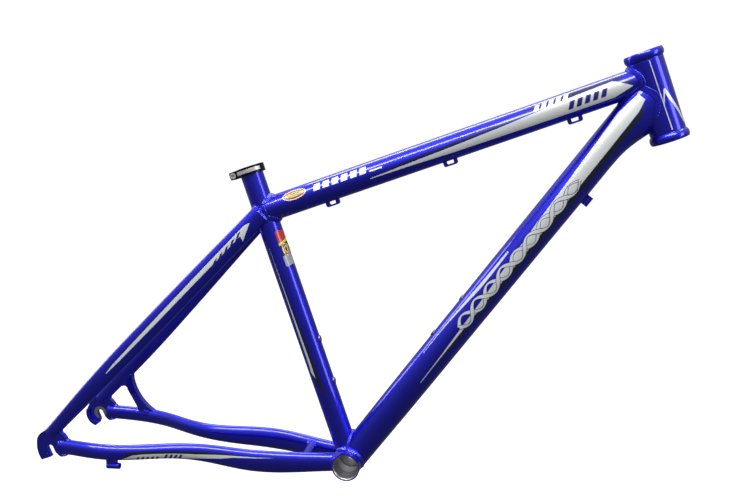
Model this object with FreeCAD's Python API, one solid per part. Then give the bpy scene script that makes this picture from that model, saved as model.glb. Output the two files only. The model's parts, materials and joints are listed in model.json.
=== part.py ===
"""Hardtail bicycle frame: welded aluminium tubes, dropouts, braze-ons and seat clamp.

Units are millimetres. The origin is the centre of the bottom bracket shell, +X points
forward, +Y to the rider's left and +Z up. The drive side is the right, at negative Y.
Every tube is hollow, coped to the tubes that it meets, and is a solid of its own.
"""
import FreeCAD, Part
import os
from math import cos, pi, radians, sin

Vector = FreeCAD.Vector

# Main geometry
SEAT_ANGLE = 73.25
HEAD_ANGLE = 71.7
SEAT_TUBE_LENGTH = 443.0
HEAD_TUBE_LENGTH = 117.2
HEAD_TUBE_BOTTOM = Vector(432.4, 0, 445.9)
TOP_TUBE_UP_SEAT_TUBE = 378.6
TOP_TUBE_UP_HEAD_TUBE = 84.35
DOWN_TUBE_FOOT = Vector(0, 0, -1.76)
DOWN_TUBE_ANGLE = 51.45
AXLE = Vector(-427.5, 0, 29.5)
REAR_SPACING = 135.0

# Tube sections
SEAT_TUBE_RADIUS = 15.95
SEAT_TUBE_WALL = 1.6
SEAT_POST_RADIUS = 13.6
SEAT_POST_BORE_LENGTH = 200.0
TOP_TUBE_RADIUS = 17.5
TOP_TUBE_WALL = 1.5
DOWN_TUBE_WALL = 1.8
DOWN_TUBE_FOOT_RADIUS = 21.2
DOWN_TUBE_RADIUS = 22.0
DOWN_TUBE_TAPER = 130.0
# Distance up the tube, and how much deeper than round the tube is there
DOWN_TUBE_STATIONS = (
    (0, 0), (65, 0), (130, 0), (240, 0), (350, 0), (460, 0), (530, 0), (560, 0.2),
    (579, 2), (592, 5), (605, 9), (625, 14), (650, 18))
HEAD_TUBE_RADIUS = 22.3
HEAD_RING_RADIUS = 24.5
HEAD_RING_HEIGHT = 9.5
HEAD_BORE_RADIUS = 19.8
CUP_RADIUS = 22.0
CUP_DEPTH = 9.0
SHELL_LENGTH = 68.0
SHELL_RADIUS = 20.0
SHELL_THREAD_RADIUS = 17.0
SHELL_THREAD_LENGTH = 24.0
SHELL_RELIEF_RADIUS = 17.8
STAY_WALL = 1.6
CHAINSTAY_BRIDGE = Vector(-62, 0, 8)
CHAINSTAY_BRIDGE_RADIUS = 6.0
SEATSTAY_BRIDGE = Vector(-160, 0, 311)
SEATSTAY_BRIDGE_RADIUS = 7.0
BRIDGE_WALL = 1.5

# Dropouts
DROPOUT_THICKNESS = 7.0
SLOT_WIDTH = 10.0
SLOT_TILT = 20.0
SEAT_FACE_RADIUS = 10.5
SEAT_FACE_DEPTH = 0.3
RIM_INNER_RADIUS = 17.5
RIM_HEIGHT = 3.0
HANGER_HOLE = (-7.3, -8.8)
HANGER_HOLE_RADIUS = 2.0

# Bottle cage threads, cable guides and stops
BOSS_SPACING = 64.0
BOSS_THREAD_RADIUS = 2.1
DOWN_TUBE_BOSS_START = 227.5
SEAT_TUBE_BOSS_START = 118.0
BOSS_FLANGE_RADIUS = 4.6
BOSS_FLANGE_HEIGHT = 1.0
BOSS_FLANGE_SINK = 0.6
BOSS_BARREL_RADIUS = 3.4
BOSS_BARREL_DEPTH = 9.0
GUIDE_STATIONS = {"rear": 97.5, "middle": 268.5, "front": 437.5}
GUIDE_LENGTH = 19.5
GUIDE_WIDTH = 7.0
GUIDE_DEPTH = 6.6
GUIDE_HOLE_LENGTH = 9.5
GUIDE_BAR = 2.4
GUIDE_ROOT = 3.0
GUIDE_CORNER_RADIUS = 3.0
GUIDE_HOLE_CORNER_RADIUS = 1.5
HOUSING_RADIUS = 2.75
CABLE_RADIUS = 1.2
STOP_RADIUS = 4.4
DOWN_TUBE_STOP_LENGTH = 14.0
CHAINSTAY_STOP_LENGTH = 19.0
DOWN_TUBE_STOP_STATION = 497.0
CHAINSTAY_STOP = Vector(-332.5, -71, 5.2)

# Seat clamp
CLAMP_HEIGHT = 11.0
CLAMP_CLEARANCE = 0.06
CLAMP_RADIUS = 20.2
CLAMP_TOP = 444.0
EAR_LENGTH = 29.2
EAR_HALF_WIDTH = 8.5
EAR_GAP = 3.0
BOLT_REACH = 24.2
BOLT_RADIUS = 2.5
BOLT_HEAD_RADIUS = 4.25
BOLT_HEAD_HEIGHT = 4.6
BOLT_CLEARANCE = 0.06
BOLT_SOCKET_WIDTH = 4.0
BOLT_SOCKET_DEPTH = 3.0
BAND_HEIGHT = 5.5
BAND_DEPTH = 0.5
BAND_HALF_ANGLE = 62.0

OUT = "parts"


def direction(angle):
    """Unit vector in the centre plane, rising at this angle above the forward axis."""
    return Vector(cos(radians(angle)), 0, sin(radians(angle)))


SEAT_DIR = direction(180 - SEAT_ANGLE)
HEAD_DIR = direction(180 - HEAD_ANGLE)
DOWN_DIR = direction(DOWN_TUBE_ANGLE)
SIDE = Vector(0, 1, 0)
SEAT_FRONT = direction(90 - SEAT_ANGLE)
DOWN_TUBE_UPPER = direction(DOWN_TUBE_ANGLE + 90)
TOP_TUBE_START = SEAT_DIR * TOP_TUBE_UP_SEAT_TUBE
TOP_TUBE_END = HEAD_TUBE_BOTTOM + HEAD_DIR * TOP_TUBE_UP_HEAD_TUBE
TOP_DIR = (TOP_TUBE_END - TOP_TUBE_START).normalize()
TOP_TUBE_UNDER = TOP_DIR.cross(SIDE) * -1 if TOP_DIR.cross(SIDE).z > 0 else TOP_DIR.cross(SIDE)
SEAT_TUBE_TOP = SEAT_DIR * SEAT_TUBE_LENGTH


def rod(start, axis, radius, length):
    return Part.makeCylinder(radius, length, start, axis)


def local_frame(origin, x_axis, z_axis):
    """Placement whose local X and Z run along the given directions."""
    y_axis = z_axis.cross(x_axis)
    matrix = FreeCAD.Matrix(
        x_axis.x, y_axis.x, z_axis.x, origin.x,
        x_axis.y, y_axis.y, z_axis.y, origin.y,
        x_axis.z, y_axis.z, z_axis.z, origin.z,
        0, 0, 0, 1)
    return FreeCAD.Placement(matrix)


def section(centre, axis, height, width):
    """Oval wire square to the axis; its height lies in the vertical plane of the axis."""
    axis = FreeCAD.Vector(axis).normalize()
    up = Vector(0, 0, 1)
    up = (up - axis * up.dot(axis)).normalize()
    oval = Part.Ellipse(Vector(0, 0, 0), height / 2, width / 2).toShape()
    oval.Placement = local_frame(centre, up, axis)
    return Part.Wire([oval])


def loft(wires):
    return Part.makeLoft(wires, True, False)


def outline(start, *steps):
    """Closed flat face in a plane of constant Y from (x, z) points.

    A step is the next corner, or a pair of a middle point and an end point for an arc.
    """
    edges = []
    here = start
    for step in steps + (start,):
        if isinstance(step[0], tuple):
            middle, end = step
            edges.append(Part.Arc(*[Vector(x, 0, z) for x, z in (here, middle, end)]).toShape())
        else:
            end = step
            if end != here:
                edges.append(Part.LineSegment(Vector(here[0], 0, here[1]),
                                              Vector(end[0], 0, end[1])).toShape())
        here = end
    return Part.Face(Part.Wire(edges))


def plate(face, low_y, high_y):
    solid = face.extrude(Vector(0, high_y - low_y, 0))
    solid.translate(Vector(0, low_y, 0))
    return solid


def mirrored(shape):
    return shape.mirror(Vector(0, 0, 0), SIDE)


def largest(shape):
    """The main solid of a coped tube, without the slivers that coping leaves."""
    return max(shape.Solids, key=lambda solid: solid.Volume)


# Solid envelopes of the tubes, used to cope their neighbours

def seat_tube_envelope():
    return rod(Vector(0, 0, 0), SEAT_DIR, SEAT_TUBE_RADIUS, SEAT_TUBE_LENGTH)


def top_tube_envelope(inset=0.0):
    length = (TOP_TUBE_END - TOP_TUBE_START).Length
    return rod(TOP_TUBE_START, TOP_DIR, TOP_TUBE_RADIUS - inset, length)


def head_tube_envelope():
    return rod(HEAD_TUBE_BOTTOM, HEAD_DIR, HEAD_TUBE_RADIUS, HEAD_TUBE_LENGTH)


def shell_envelope():
    return rod(Vector(0, -SHELL_LENGTH / 2, 0), SIDE, SHELL_RADIUS, SHELL_LENGTH)


def down_tube_envelope(inset=0.0):
    """Round tube, slimmer at its foot, whose underside flares towards the head tube."""
    wires = []
    for distance, extra_depth in DOWN_TUBE_STATIONS:
        taper = max(0.0, 1 - distance / DOWN_TUBE_TAPER)
        radius = DOWN_TUBE_RADIUS + (DOWN_TUBE_FOOT_RADIUS - DOWN_TUBE_RADIUS) * taper - inset
        centre = DOWN_TUBE_FOOT + DOWN_DIR * distance - DOWN_TUBE_UPPER * (extra_depth / 2)
        wires.append(section(centre, DOWN_DIR, 2 * radius + extra_depth, 2 * radius - 0.01))
    return loft(wires)


# Stays: stations of (x, half spacing, z, height, width), front to back or bottom to top

CHAINSTAY_STATIONS = (
    (-4, 15.5, 0.5, 26.5, 17),
    (-30, 20.5, 1.5, 27.5, 17),
    (-70, 30.5, 3.8, 30, 17),
    (-110, 39, 6.7, 32, 17),
    (-150, 41, 9.8, 31, 17),
    (-190, 37.5, 13.2, 27.8, 17),
    (-230, 38, 16.6, 24, 17),
    (-266, 47, 19.6, 22.2, 17),
    (-302, 61, 22.4, 22.3, 16.5),
    (-338, 70.5, 25, 22.8, 16),
    (-374, 72, 28, 22.6, 15.5),
    (-414, 71, 30.7, 22.2, 15),
)
SEATSTAY_STATIONS = (
    (-427, 71, 50.5, 18, 13),
    (-403, 71.5, 74, 20.5, 14),
    (-378, 71, 98.5, 23, 15),
    (-330, 66.5, 145.5, 26.5, 16),
    (-280, 55.5, 194.5, 28, 16),
    (-230, 43, 243.5, 28.5, 16),
    (-180, 31, 292.5, 28, 15.5),
    (-130, 20.5, 341, 27, 15),
    (-110, 16.5, 360.5, 27, 15),
)
STAY_END_CAP = 10.0


def stay_point(station):
    x, half_spacing, z, height, width = station
    return Vector(x, half_spacing, z)


def stay(stations, inset=0.0):
    """Oval tube through the stations of the left stay."""
    points = [stay_point(station) for station in stations]
    wires = []
    for index, station in enumerate(stations):
        before = points[max(index - 1, 0)]
        after = points[min(index + 1, len(points) - 1)]
        height, width = station[3], station[4]
        wires.append(section(points[index], after - before,
                             height - 2 * inset, width - 2 * inset))
    return loft(wires)


def shortened(stations, rear_first):
    """The same stations, ending before the dropout so that the hollow has a closed end."""
    stations = list(stations)
    end, neighbour = (0, 1) if rear_first else (-1, -2)
    gap = stay_point(stations[neighbour]) - stay_point(stations[end])
    share = STAY_END_CAP / gap.Length
    stations[end] = tuple(a + (b - a) * share
                          for a, b in zip(stations[end], stations[neighbour]))
    return stations


def chainstay_envelope():
    return stay(CHAINSTAY_STATIONS)


def seatstay_envelope():
    return stay(SEATSTAY_STATIONS)


# Tubes

def make_head_tube():
    """Turned tube with a rounded ring at each end and a pressed-cup seat in each ring."""
    ring, neck = HEAD_RING_RADIUS, HEAD_TUBE_RADIUS
    bulge = ring + 0.3
    top = HEAD_TUBE_LENGTH
    lip = 1.0
    fillet = 3.0
    steps = []
    steps.append((CUP_RADIUS, 0))
    steps.append((ring - lip, 0))
    steps.append(((bulge, HEAD_RING_HEIGHT / 2), (ring - lip, HEAD_RING_HEIGHT)))
    steps.append(((neck + 0.3, HEAD_RING_HEIGHT + 0.8), (neck, HEAD_RING_HEIGHT + fillet)))
    steps.append((neck, top - HEAD_RING_HEIGHT - fillet))
    steps.append(((neck + 0.3, top - HEAD_RING_HEIGHT - 0.8), (ring - lip, top - HEAD_RING_HEIGHT)))
    steps.append(((bulge, top - HEAD_RING_HEIGHT / 2), (ring - lip, top)))
    steps.append((CUP_RADIUS, top))
    steps.append((CUP_RADIUS, top - CUP_DEPTH))
    steps.append((HEAD_BORE_RADIUS, top - CUP_DEPTH - 2))
    steps.append((HEAD_BORE_RADIUS, CUP_DEPTH + 2))
    face = outline((CUP_RADIUS, CUP_DEPTH), *steps)
    solid = face.revolve(Vector(0, 0, 0), Vector(0, 0, 1), 360)
    solid.Placement = local_frame(HEAD_TUBE_BOTTOM, SIDE, HEAD_DIR)
    return solid


def make_top_tube():
    tube = top_tube_envelope().cut(top_tube_envelope(TOP_TUBE_WALL))
    return tube.cut(seat_tube_envelope()).cut(head_tube_envelope())


def make_down_tube():
    tube = down_tube_envelope().cut(down_tube_envelope(DOWN_TUBE_WALL))
    tube = tube.cut(head_tube_envelope()).cut(top_tube_envelope()).cut(shell_envelope())
    return largest(tube)


def make_seat_tube():
    reamed_from = SEAT_TUBE_LENGTH - SEAT_POST_BORE_LENGTH
    bore = rod(SEAT_DIR * reamed_from, SEAT_DIR, SEAT_POST_RADIUS, SEAT_POST_BORE_LENGTH)
    thin_wall = rod(Vector(0, 0, 0), SEAT_DIR, SEAT_TUBE_RADIUS - SEAT_TUBE_WALL, reamed_from)
    tube = seat_tube_envelope().cut(bore).cut(thin_wall)
    relief_width, relief_depth = 2.0, 35.0
    relief = Part.makeBox(2 * SEAT_TUBE_RADIUS, relief_width, relief_depth + 1)
    relief.translate(Vector(0, -relief_width / 2, -relief_depth))
    relief.Placement = local_frame(SEAT_TUBE_TOP, SEAT_FRONT * -1, SEAT_DIR).multiply(relief.Placement)
    tube = tube.cut(relief)
    return tube.cut(shell_envelope()).cut(down_tube_envelope())


def make_bottom_bracket_shell():
    """Shell threaded from both ends, with a plain wider bore between the threads."""
    shell = shell_envelope()
    bore = rod(Vector(0, -SHELL_LENGTH / 2, 0), SIDE, SHELL_THREAD_RADIUS, SHELL_LENGTH)
    relief_length = SHELL_LENGTH - 2 * SHELL_THREAD_LENGTH
    relief = rod(Vector(0, -relief_length / 2, 0), SIDE, SHELL_RELIEF_RADIUS, relief_length)
    shell = shell.cut(bore).cut(relief)
    chamfer = 0.8
    for side in (-1, 1):
        face_centre = Vector(0, side * SHELL_LENGTH / 2, 0)
        shell = shell.cut(Part.makeCone(SHELL_THREAD_RADIUS + chamfer, SHELL_THREAD_RADIUS,
                                        chamfer, face_centre, SIDE * -side))
    return shell


def make_chainstay():
    tube = chainstay_envelope().cut(stay(shortened(CHAINSTAY_STATIONS, False), STAY_WALL))
    return tube.cut(shell_envelope()).cut(seat_tube_envelope()).cut(dropout_body())


def make_seatstay():
    tube = seatstay_envelope().cut(stay(shortened(SEATSTAY_STATIONS, True), STAY_WALL))
    return tube.cut(seat_tube_envelope()).cut(top_tube_envelope()).cut(dropout_body())


def bridge(centre, radius, envelope):
    """Cross tube that fills the space between the two stays."""
    reach = 45.0
    tube = rod(centre - SIDE * reach, SIDE, radius, 2 * reach)
    tube = tube.cut(rod(centre - SIDE * reach, SIDE, radius - BRIDGE_WALL, 2 * reach))
    pieces = tube.cut(envelope).cut(mirrored(envelope)).Solids
    return min(pieces, key=lambda solid: abs(solid.CenterOfMass.y))


# Dropouts

def slot_cutter():
    """Axle slot: a half round end at the axle, open downwards and a little forwards."""
    down = direction(SLOT_TILT - 90)
    across = direction(SLOT_TILT)
    reach = 40.0
    half = SLOT_WIDTH / 2
    corners = [AXLE + across * half, AXLE + across * half + down * reach,
               AXLE - across * half + down * reach, AXLE - across * half]
    face = outline(*[(corner.x, corner.z) for corner in corners])
    block = plate(face, -100, 100)
    return block.fuse(rod(AXLE - SIDE * 100, SIDE, half, 200))


def at_axle(dx, dz):
    return (AXLE.x + dx, AXLE.z + dz)


def dropout_body():
    """Plate between the stays above the axle slot, the same shape on both sides."""
    inner = REAR_SPACING / 2
    face = outline(
        at_axle(8.5, -7),
        at_axle(12.5, -11),
        (at_axle(17, -12.8), at_axle(22.5, -10)),
        at_axle(28, 2),
        at_axle(27.5, 10),
        (at_axle(23.5, 18.5), at_axle(17, 24.5)),
        at_axle(7, 33),
        at_axle(-12, 20),
        at_axle(-12, 0),
        at_axle(0, 0))
    return plate(face, inner, inner + DROPOUT_THICKNESS)


def bare_seat(side):
    """Shallow round facing where the hub's locknut bears on the inner face."""
    inner = REAR_SPACING / 2
    return rod(Vector(AXLE.x, side * (inner - 1), AXLE.z), SIDE * side,
               SEAT_FACE_RADIUS, 1 + SEAT_FACE_DEPTH)


def make_dropout_right():
    """Drive side: flat tail with a square lower corner and the hanger screw's hole."""
    inner = REAR_SPACING / 2
    tail = plate(outline(
        at_axle(1, -13),
        at_axle(-15.3, -18.4),
        (at_axle(-20.3, -6), at_axle(-20.6, 6.2)),
        (at_axle(-17.2, 18), at_axle(-7.2, 25.3)),
        at_axle(4, 26),
        at_axle(4, -10)), inner, inner + DROPOUT_THICKNESS)
    body = dropout_body().fuse(tail).removeSplitter()
    body = mirrored(body.cut(slot_cutter()))
    hole_centre = Vector(AXLE.x + HANGER_HOLE[0], 0, AXLE.z + HANGER_HOLE[1])
    hole = rod(hole_centre - SIDE * 100, SIDE, HANGER_HOLE_RADIUS, 100)
    return body.cut(hole).cut(bare_seat(-1))


def make_dropout_left():
    """Non-drive side: a hooked round tail with a raised rim on its inner face."""
    inner = REAR_SPACING / 2
    tail_face = outline(
        at_axle(-1.8, -9.5),
        (at_axle(-3.4, -16.8), at_axle(-9, -21.2)),
        (at_axle(-22, -8), at_axle(-19.5, 11)),
        (at_axle(-15, 18.5), at_axle(-7.2, 25.3)),
        at_axle(4, 26),
        at_axle(4, -9.5))
    tail = plate(tail_face, inner, inner + DROPOUT_THICKNESS)
    rim = plate(tail_face, inner - RIM_HEIGHT, inner)
    rim = rim.cut(rod(Vector(AXLE.x, 0, AXLE.z), SIDE, RIM_INNER_RADIUS, inner))
    above = plate(outline(at_axle(-40, 6), at_axle(-40, 60), at_axle(40, 60), at_axle(40, -40),
                          at_axle(0, -40), at_axle(0, 6)), 0, inner)
    body = dropout_body().fuse([tail, rim.cut(above)]).removeSplitter()
    return body.cut(slot_cutter()).cut(bare_seat(1)).removeSplitter()


def make_disc_brace():
    """Curved strut between the left stays, widening where it meets each of them."""
    low_y, high_y = 66.0, 75.5
    face = outline(
        (-388, 80),
        (-384, 75.4),
        ((-379.3, 76.2), (-375.5, 70.8)),
        (-362, 43.6),
        (-358, 30),
        (-328, 28),
        (-336, 36.2),
        ((-356.8, 59.4), (-366.3, 87)),
        (-366, 100),
        (-374, 101))
    brace = plate(face, low_y, high_y)
    return largest(brace.cut(seatstay_envelope()).cut(chainstay_envelope()))


# Cable guides, cable stops and bottle cage threads

def round_ended_block(length, width, bottom, top, corner_radius):
    """Block along local X from one height to another, its two top cross edges rounded."""
    block = Part.makeBox(length, width, top - bottom)
    block.translate(Vector(-length / 2, -width / 2, bottom))
    edges = [edge for edge in block.Edges
             if abs(edge.CenterOfMass.z - top) < 0.1
             and abs(abs(edge.CenterOfMass.x) - length / 2) < 0.1]
    return block.makeFillet(corner_radius, edges)


def make_cable_guide(station):
    """Staple under the top tube; a tie goes through its long hole to hold a housing."""
    along = TOP_TUBE_START + TOP_DIR * station
    root = TOP_TUBE_RADIUS - GUIDE_ROOT
    outside = TOP_TUBE_RADIUS + GUIDE_DEPTH
    block = round_ended_block(GUIDE_LENGTH, GUIDE_WIDTH, root, outside, GUIDE_CORNER_RADIUS)
    hole = round_ended_block(GUIDE_HOLE_LENGTH, 3 * GUIDE_WIDTH, root - 2, outside - GUIDE_BAR,
                             GUIDE_HOLE_CORNER_RADIUS)
    staple = block.cut(hole)
    staple.Placement = local_frame(along, TOP_DIR, TOP_TUBE_UNDER)
    return staple.cut(top_tube_envelope())


def cable_stop(length, radius):
    """Barrel along local X on a foot, with a housing socket and a smaller cable hole."""
    barrel = rod(Vector(-length / 2, 0, 0), Vector(1, 0, 0), radius, length)
    foot = Part.makeBox(length * 0.78, 1.5 * radius, 3 * radius)
    foot.translate(Vector(-length / 2, -0.75 * radius, 0))
    socket_depth = length * 0.6
    socket = rod(Vector(length / 2 - socket_depth, 0, 0), Vector(1, 0, 0), HOUSING_RADIUS,
                 socket_depth)
    cable = rod(Vector(-length / 2, 0, 0), Vector(1, 0, 0), CABLE_RADIUS, length)
    return barrel.fuse(foot).removeSplitter().cut(socket).cut(cable)


def make_down_tube_cable_stop():
    stop = cable_stop(DOWN_TUBE_STOP_LENGTH, STOP_RADIUS)
    centre = (DOWN_TUBE_FOOT + DOWN_DIR * DOWN_TUBE_STOP_STATION
              - DOWN_TUBE_UPPER * (DOWN_TUBE_RADIUS + STOP_RADIUS))
    stop.Placement = local_frame(centre, DOWN_DIR, DOWN_TUBE_UPPER)
    return stop.cut(down_tube_envelope())


def make_chainstay_cable_stop():
    stop = cable_stop(CHAINSTAY_STOP_LENGTH, STOP_RADIUS)
    stop.Placement = local_frame(CHAINSTAY_STOP, Vector(1, 0, 0), Vector(0, 0, 1))
    return stop.cut(mirrored(chainstay_envelope()))


def threaded_insert(surface, outward):
    """Rivet nut: a thin flange on the tube and a barrel through the tube's wall."""
    inner_end = surface - outward * BOSS_BARREL_DEPTH
    flange = rod(surface - outward * BOSS_FLANGE_SINK, outward, BOSS_FLANGE_RADIUS,
                 BOSS_FLANGE_SINK + BOSS_FLANGE_HEIGHT)
    barrel = rod(inner_end, outward, BOSS_BARREL_RADIUS, BOSS_BARREL_DEPTH)
    thread = rod(inner_end, outward, BOSS_THREAD_RADIUS, BOSS_BARREL_DEPTH + 2 * BOSS_FLANGE_HEIGHT)
    return flange.fuse(barrel).removeSplitter().cut(thread)


def down_tube_boss_points():
    surface = DOWN_TUBE_FOOT + DOWN_TUBE_UPPER * DOWN_TUBE_RADIUS
    return [surface + DOWN_DIR * (DOWN_TUBE_BOSS_START + step) for step in (0, BOSS_SPACING)]


def seat_tube_boss_points():
    surface = SEAT_FRONT * SEAT_TUBE_RADIUS
    return [surface + SEAT_DIR * (SEAT_TUBE_BOSS_START + step) for step in (0, BOSS_SPACING)]


def boss_envelope(surface, outward):
    """What a rivet nut takes out of the tube's wall."""
    sink = rod(surface - outward * BOSS_FLANGE_SINK, outward, BOSS_FLANGE_RADIUS,
               3 * BOSS_FLANGE_HEIGHT)
    hole = rod(surface - outward * BOSS_BARREL_DEPTH, outward, BOSS_BARREL_RADIUS,
               BOSS_BARREL_DEPTH)
    return sink.fuse(hole)


# Seat clamp

def clamp_placement():
    """Local Z up the seat tube and local X forwards, at the underside of the clamp."""
    return local_frame(SEAT_DIR * (CLAMP_TOP - CLAMP_HEIGHT), SEAT_FRONT, SEAT_DIR)


def make_seat_clamp():
    """Split collar with two rear ears, drawn together by the clamp bolt."""
    up = Vector(0, 0, 1)
    middle = CLAMP_HEIGHT / 2
    collar = rod(Vector(0, 0, 0), up, CLAMP_RADIUS, CLAMP_HEIGHT)
    ears = Part.makeBox(EAR_LENGTH, 2 * EAR_HALF_WIDTH, CLAMP_HEIGHT)
    ears.translate(Vector(-EAR_LENGTH, -EAR_HALF_WIDTH, 0))
    band_half_length = CLAMP_RADIUS * sin(radians(BAND_HALF_ANGLE))
    band = Part.makeBox(2 * band_half_length, 4 * CLAMP_RADIUS, BAND_HEIGHT)
    band.translate(Vector(-band_half_length, -2 * CLAMP_RADIUS, middle - BAND_HEIGHT / 2))
    band = band.cut(rod(Vector(0, 0, 0), up, CLAMP_RADIUS - BAND_DEPTH, CLAMP_HEIGHT))
    collar = collar.cut(band.cut(ears))
    end_edges = [edge for edge in ears.Edges
                 if edge.CenterOfMass.x < 0.1 - EAR_LENGTH and abs(edge.CenterOfMass.y) < 0.1]
    collar = collar.fuse(ears.makeFillet(2.5, end_edges)).removeSplitter()
    collar = collar.cut(rod(Vector(0, 0, 0), up, SEAT_TUBE_RADIUS + CLAMP_CLEARANCE, CLAMP_HEIGHT))
    gap = Part.makeBox(EAR_LENGTH, EAR_GAP, CLAMP_HEIGHT)
    gap.translate(Vector(-EAR_LENGTH, -EAR_GAP / 2, 0))
    collar = collar.cut(gap)
    bolt_start = Vector(-BOLT_REACH, -EAR_HALF_WIDTH - 1, middle)
    collar = collar.cut(rod(bolt_start, SIDE, BOLT_RADIUS + BOLT_CLEARANCE,
                            2 * EAR_HALF_WIDTH + 2))
    collar = collar.cut(rod(bolt_start, SIDE, BOLT_HEAD_RADIUS + BOLT_CLEARANCE,
                            BOLT_HEAD_HEIGHT + 1))
    collar.Placement = clamp_placement()
    return collar


def make_clamp_bolt():
    """Socket head screw across the ears, its head in the drive-side ear."""
    middle = CLAMP_HEIGHT / 2
    head_start = -EAR_HALF_WIDTH - 0.4
    under_head = -EAR_HALF_WIDTH + BOLT_HEAD_HEIGHT - 0.05
    head = rod(Vector(-BOLT_REACH, head_start, middle), SIDE, BOLT_HEAD_RADIUS,
               under_head - head_start)
    shank = rod(Vector(-BOLT_REACH, under_head, middle), SIDE, BOLT_RADIUS,
                EAR_HALF_WIDTH + 0.8 - under_head)
    socket_radius = BOLT_SOCKET_WIDTH / (2 * cos(pi / 6))
    corners = [Vector(-BOLT_REACH + socket_radius * cos(pi * k / 3), head_start,
                      middle + socket_radius * sin(pi * k / 3)) for k in range(7)]
    socket = Part.Face(Part.makePolygon(corners)).extrude(SIDE * BOLT_SOCKET_DEPTH)
    bolt = head.fuse(shank).removeSplitter().cut(socket)
    bolt.Placement = clamp_placement()
    return bolt


def write(name, shapes):
    solids = [solid for shape in shapes for solid in shape.Solids]
    result = solids[0] if len(solids) == 1 else Part.makeCompound(solids)
    for solid in solids:
        if not solid.isValid():
            print("invalid solid in", name)
    result.exportStep(os.path.join(OUT, name + ".step"))
    print(name, len(solids), round(sum(solid.Volume for solid in solids)))


def main():
    os.makedirs("parts", exist_ok=True)
    down_bosses = [(point, DOWN_TUBE_UPPER) for point in down_tube_boss_points()]
    seat_bosses = [(point, SEAT_FRONT) for point in seat_tube_boss_points()]

    down_tube = make_down_tube()
    for surface, outward in down_bosses:
        down_tube = down_tube.cut(boss_envelope(surface, outward))
    seat_tube = make_seat_tube()
    for surface, outward in seat_bosses:
        seat_tube = seat_tube.cut(boss_envelope(surface, outward))
    chainstay = make_chainstay()
    seatstay = make_seatstay()

    write("head_tube", [make_head_tube()])
    write("top_tube", [make_top_tube()])
    write("down_tube", [down_tube])
    write("seat_tube", [seat_tube])
    write("bottom_bracket_shell", [make_bottom_bracket_shell()])
    write("chainstay_left", [chainstay])
    write("chainstay_right", [mirrored(chainstay)])
    write("seatstay_left", [seatstay])
    write("seatstay_right", [mirrored(seatstay)])
    write("chainstay_bridge", [bridge(CHAINSTAY_BRIDGE, CHAINSTAY_BRIDGE_RADIUS,
                                      chainstay_envelope())])
    write("seatstay_bridge", [bridge(SEATSTAY_BRIDGE, SEATSTAY_BRIDGE_RADIUS,
                                     seatstay_envelope())])
    write("dropout_right", [make_dropout_right()])
    write("dropout_left", [make_dropout_left()])
    write("disc_brace_left", [make_disc_brace()])
    for name, station in GUIDE_STATIONS.items():
        write("cable_guide_" + name, [make_cable_guide(station)])
    write("down_tube_cable_stop", [make_down_tube_cable_stop()])
    write("chainstay_cable_stop", [make_chainstay_cable_stop()])
    write("bottle_inserts_down_tube", [threaded_insert(*boss) for boss in down_bosses])
    write("bottle_inserts_seat_tube", [threaded_insert(*boss) for boss in seat_bosses])
    write("seat_clamp_collar", [make_seat_clamp()])
    write("seat_clamp_bolt", [make_clamp_bolt()])


main()
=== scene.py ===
"""Hardtail bicycle frame: candy paint, weld beads, decals, threads and clamp trim on the CAD frame.

Lengths below are millimetres in the frame's own coordinates (+X forwards, +Y to the rider's
left, +Z up, origin at the bottom bracket's centre); MM turns them into metres.
"""
import json
from math import ceil, cos, hypot, pi, radians, sin, sqrt

import bmesh
import bpy
from mathutils import Matrix, Vector
from mathutils.bvhtree import BVHTree


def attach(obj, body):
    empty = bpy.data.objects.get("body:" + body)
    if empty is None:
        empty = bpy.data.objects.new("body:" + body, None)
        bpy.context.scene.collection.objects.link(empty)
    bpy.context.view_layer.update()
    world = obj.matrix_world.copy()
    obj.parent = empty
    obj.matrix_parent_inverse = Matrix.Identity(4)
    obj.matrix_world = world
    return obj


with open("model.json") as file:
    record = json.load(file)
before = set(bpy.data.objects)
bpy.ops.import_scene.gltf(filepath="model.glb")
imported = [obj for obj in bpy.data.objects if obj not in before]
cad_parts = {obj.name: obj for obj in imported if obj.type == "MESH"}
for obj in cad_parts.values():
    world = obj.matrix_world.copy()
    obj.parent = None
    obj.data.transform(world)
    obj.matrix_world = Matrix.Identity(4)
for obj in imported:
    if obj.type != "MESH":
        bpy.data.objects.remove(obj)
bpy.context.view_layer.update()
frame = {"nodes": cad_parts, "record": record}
NODES = frame["nodes"]
MM = 0.001

# Frame geometry
SEAT_ANGLE = 73.25
HEAD_ANGLE = 71.7
DOWN_ANGLE = 51.45
HEAD_BOTTOM = Vector((432.4, 0, 445.9))
CUP_RADIUS = 22.0
TOP_TUBE_ON_SEAT_TUBE = 378.6
TOP_TUBE_ON_HEAD_TUBE = 84.35
DOWN_TUBE_FOOT = Vector((0, 0, -1.76))
SEAT_RADIUS = 15.95
TOP_RADIUS = 17.5
DOWN_RADIUS = 22.0
HEAD_RADIUS = 22.3
SHELL_HALF = 34.0
THREAD_RADIUS = 17.0
THREAD_LENGTH = 24.0
THREAD_RUNOUT = 1.2
THREAD_PITCH = 1.06
THREAD_DEPTH = 0.55
INSERT_RADIUS = 2.1
INSERT_LENGTH = 9
INSERT_PITCH = 0.8
INSERT_DEPTH = 0.35
AXLE = Vector((-427.5, 0, 29.5))
HUB_HALF = 67.5
FLARE = ((0, 0), (560, 0.2), (579, 2), (592, 5), (605, 9), (625, 14), (650, 18))
SIDE = Vector((0, 1, 0))

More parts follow.
